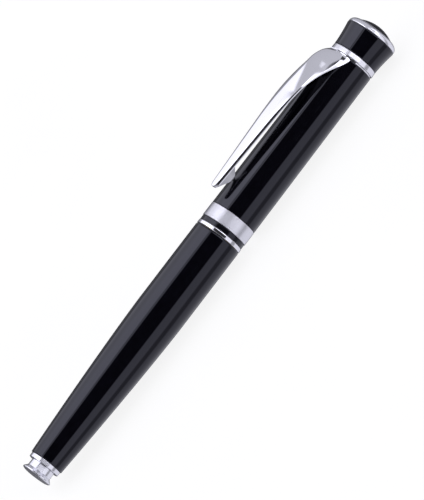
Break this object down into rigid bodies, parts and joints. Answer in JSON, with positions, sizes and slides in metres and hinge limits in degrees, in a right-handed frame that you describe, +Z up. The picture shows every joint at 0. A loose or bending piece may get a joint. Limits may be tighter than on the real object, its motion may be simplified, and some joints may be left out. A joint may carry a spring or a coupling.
{
  "type": "rollerball pen",
  "caption": "Capped metal rollerball pen: black lacquered barrel and cap, chrome rings, arched chrome clip, flared crown with a domed jewel.",
  "frame": {"origin": "centre of the flat on the tail button, on the pen's axis", "axes": "+X runs along the pen from the tail to the crown, +Z points up through the clip"},
  "size_m": [0.138, 0.0136, 0.0168],
  "materials": {
    "black_lacquer": "deep gloss black lacquer on brass",
    "chrome": "polished chrome plate",
    "satin_chrome": "satin chrome between two polished edges",
    "brass": "turned brass",
    "steel": "bright drawn steel",
    "black_resin": "gloss black resin",
    "liner_plastic": "satin moulded black plastic",
    "refill_plastic": "pale grey moulded plastic",
    "ink_fibre": "ink-soaked fibre rod"
  },
  "bodies": {
    "barrel": {"barrel_tube": "black_lacquer", "barrel_bush": "brass", "barrel_trim_ring": "chrome", "barrel_collar": "black_resin", "tail_ring": "chrome", "tail_button": "chrome", "tail_screw": "steel"},
    "spring": {"refill_spring": "steel"},
    "refill": {"refill_tube": "steel", "refill_plug": "refill_plastic", "ink_reservoir": "ink_fibre", "refill_feed": "refill_plastic", "refill_tip": "steel"},
    "ball": {"refill_ball": "steel"},
    "section": {"section_coupling": "brass", "section_ring": "chrome", "section_sleeve": "black_resin", "nose_cone": "chrome"},
    "cap": {"cap_tube": "black_lacquer", "cap_lip_band": "satin_chrome", "inner_cap": "liner_plastic", "cap_bush": "brass", "clip_washer": "chrome", "clip_trim_ring": "chrome", "finial_screw": "steel", "finial_crown": "black_lacquer", "finial_bezel": "chrome", "finial_jewel": "black_lacquer"},
    "clip": {"clip": "chrome"}
  },
  "joints": [
    {"name": "spring_extend", "type": "slide", "parent": "barrel", "child": "spring", "axis": [1, 0, 0], "range_m": [0, 0.0045], "deforming": ["refill_spring"]},
    {"name": "front_draw", "type": "slide", "parent": "spring", "child": "refill", "axis": [1, 0, 0], "range_m": [0, 0.056]},
    {"name": "section_unscrew", "type": "hinge", "parent": "refill", "child": "section", "pos_m": [0.0754, 0, 0], "axis": [1, 0, 0], "range_deg": [0, 2160]},
    {"name": "cap_pull", "type": "slide", "parent": "section", "child": "cap", "axis": [1, 0, 0], "range_m": [0, 0.045]},
    {"name": "clip_flex", "type": "hinge", "parent": "cap", "child": "clip", "pos_m": [0.1265, 0, 0.00634], "axis": [0, 1, 0], "range_deg": [0, 4], "stiffness_Nm_per_rad": 2.5},
    {"name": "ball_roll", "type": "hinge", "parent": "refill", "child": "ball", "pos_m": [0.11765, 0, 0], "axis": [0, 1, 0], "continuous": true}
  ],
  "couplings": [
    {"joint": "section_unscrew", "follows": "spring_extend", "rad_per_m": 8377.6}
  ]
}
